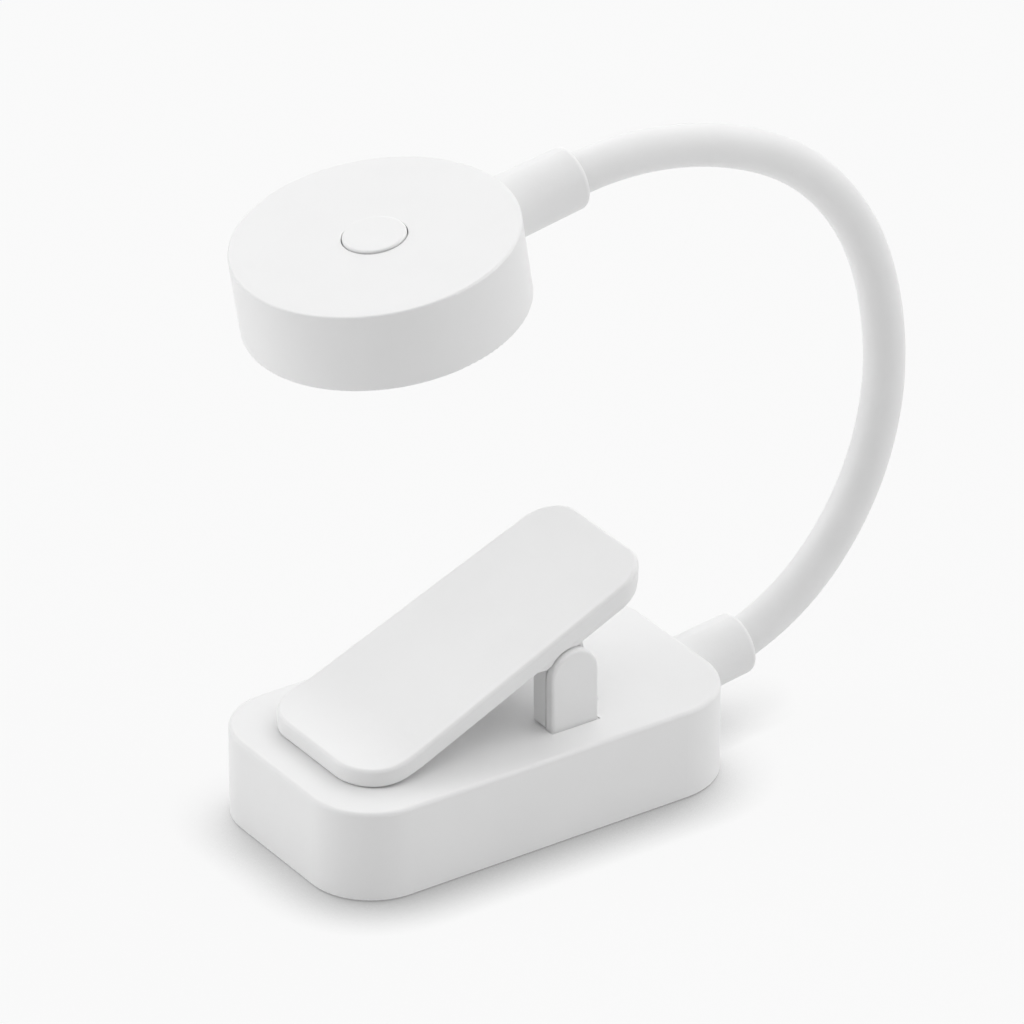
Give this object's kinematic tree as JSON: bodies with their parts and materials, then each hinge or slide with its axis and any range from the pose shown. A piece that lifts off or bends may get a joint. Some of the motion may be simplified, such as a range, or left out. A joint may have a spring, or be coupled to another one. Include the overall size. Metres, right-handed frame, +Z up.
{
  "type": "battery clip night light",
  "caption": "Clip-on battery night light: a flat case with a sprung clip lever, a bendable arched neck and a flat round lamp head with a push button.",
  "frame": {"origin": "on the table under the middle of the case", "axes": "+X along the case to the end where the neck leaves it, +Z up, Y = 0 is the plane that halves the light"},
  "size_m": [0.1434, 0.0528, 0.1265],
  "materials": {
    "white_plastic": "fine matt moulded texture",
    "inner_plastic": "plain moulded",
    "screw_steel": "zinc plated",
    "spring_steel": "drawn wire, nickel plated",
    "contact_metal": "nickel plated",
    "cell_can": "printed sleeve over a metal can",
    "circuit_board": "white solder mask",
    "grey_rubber": "matt",
    "pad_rubber": "matt",
    "ferrule_metal": "crimped",
    "neck_silicone": "smooth matt silicone",
    "core_steel": "wound and bendable",
    "wire_insulation": "smooth",
    "black_plastic": "plain",
    "led_resin": "clear resin over phosphor",
    "lens_plastic": "frosted"
  },
  "bodies": {
    "base": {"case_shell": "white_plastic", "bottom_plate": "white_plastic", "case_screws": "screw_steel", "feet": "grey_rubber", "battery_door": "white_plastic", "door_screw": "screw_steel", "battery_tray": "inner_plastic", "battery_1": "cell_can", "battery_2": "cell_can", "battery_3": "cell_can", "contact_plates": "contact_metal", "battery_springs": "spring_steel", "driver_board": "circuit_board", "board_screws": "screw_steel", "base_ferrule": "ferrule_metal", "base_strap": "inner_plastic", "base_strap_screws": "screw_steel", "sleeve_1": "neck_silicone", "core_1": "core_steel", "wires_1": "wire_insulation", "hinge_pin": "screw_steel", "lever_spring": "spring_steel", "lower_jaw_pad": "pad_rubber"},
    "lever": {"clip_lever": "white_plastic", "upper_jaw_pad": "pad_rubber"},
    "neck_1": {"sleeve_2": "neck_silicone", "core_2": "core_steel", "wires_2": "wire_insulation"},
    "neck_2": {"sleeve_3": "neck_silicone", "core_3": "core_steel", "wires_3": "wire_insulation"},
    "neck_3": {"sleeve_4": "neck_silicone", "core_4": "core_steel", "wires_4": "wire_insulation"},
    "neck_4": {"sleeve_5": "neck_silicone", "core_5": "core_steel", "wires_5": "wire_insulation"},
    "neck_5": {"sleeve_6": "neck_silicone", "core_6": "core_steel", "wires_6": "wire_insulation"},
    "neck_6": {"sleeve_7": "neck_silicone", "core_7": "core_steel", "wires_7": "wire_insulation"},
    "head": {"head_shell": "white_plastic", "tact_switch": "black_plastic", "switch_board": "circuit_board", "switch_screws": "screw_steel", "lamp_board": "circuit_board", "leds": "led_resin", "lamp_screws": "screw_steel", "lens": "lens_plastic", "head_ferrule": "ferrule_metal", "head_strap": "inner_plastic", "head_strap_screws": "screw_steel", "sleeve_8": "neck_silicone", "core_8": "core_steel", "wires_8": "wire_insulation"},
    "button": {"button_cap": "white_plastic", "switch_plunger": "black_plastic"}
  },
  "joints": [
    {"name": "lever_hinge", "type": "hinge", "parent": "base", "child": "lever", "pos_m": [0.01, 0, 0.0291], "axis": [0, 1, 0], "range_deg": [0, 28], "stiffness_Nm_per_rad": 0.3, "springref_deg": -45.84, "deforming": ["lever_spring"]},
    {"name": "neck_bend_1", "type": "hinge", "parent": "base", "child": "neck_1", "pos_m": [0.07787, 0, 0.02471], "axis": [0, 1, 0], "range_deg": [-6, 25]},
    {"name": "neck_bend_2", "type": "hinge", "parent": "neck_1", "child": "neck_2", "pos_m": [0.0884, 0, 0.04233], "axis": [-0.9409, 0, 0.3387], "range_deg": [-20, 20]},
    {"name": "neck_bend_3", "type": "hinge", "parent": "neck_2", "child": "neck_3", "pos_m": [0.09179, 0, 0.0626], "axis": [0, 1, 0], "range_deg": [-6, 25]},
    {"name": "neck_bend_4", "type": "hinge", "parent": "neck_3", "child": "neck_4", "pos_m": [0.08859, 0, 0.08294], "axis": [-0.9558, 0, -0.294], "range_deg": [-20, 20]},
    {"name": "neck_bend_5", "type": "hinge", "parent": "neck_4", "child": "neck_5", "pos_m": [0.07885, 0, 0.10101], "axis": [0, 1, 0], "range_deg": [-8, 25]},
    {"name": "neck_bend_6", "type": "hinge", "parent": "neck_5", "child": "neck_6", "pos_m": [0.06284, 0, 0.11384], "axis": [-0.4524, 0, -0.8918], "range_deg": [-20, 20]},
    {"name": "neck_bend_7", "type": "hinge", "parent": "neck_6", "child": "head", "pos_m": [0.04335, 0, 0.12046], "axis": [0, 1, 0], "range_deg": [-10, 25]},
    {"name": "button_press", "type": "slide", "parent": "head", "child": "button", "axis": [0.1582, 0, -0.9874], "range_m": [0, 0.0006], "stiffness_N_per_m": 2500, "springref_m": -0.0004}
  ]
}
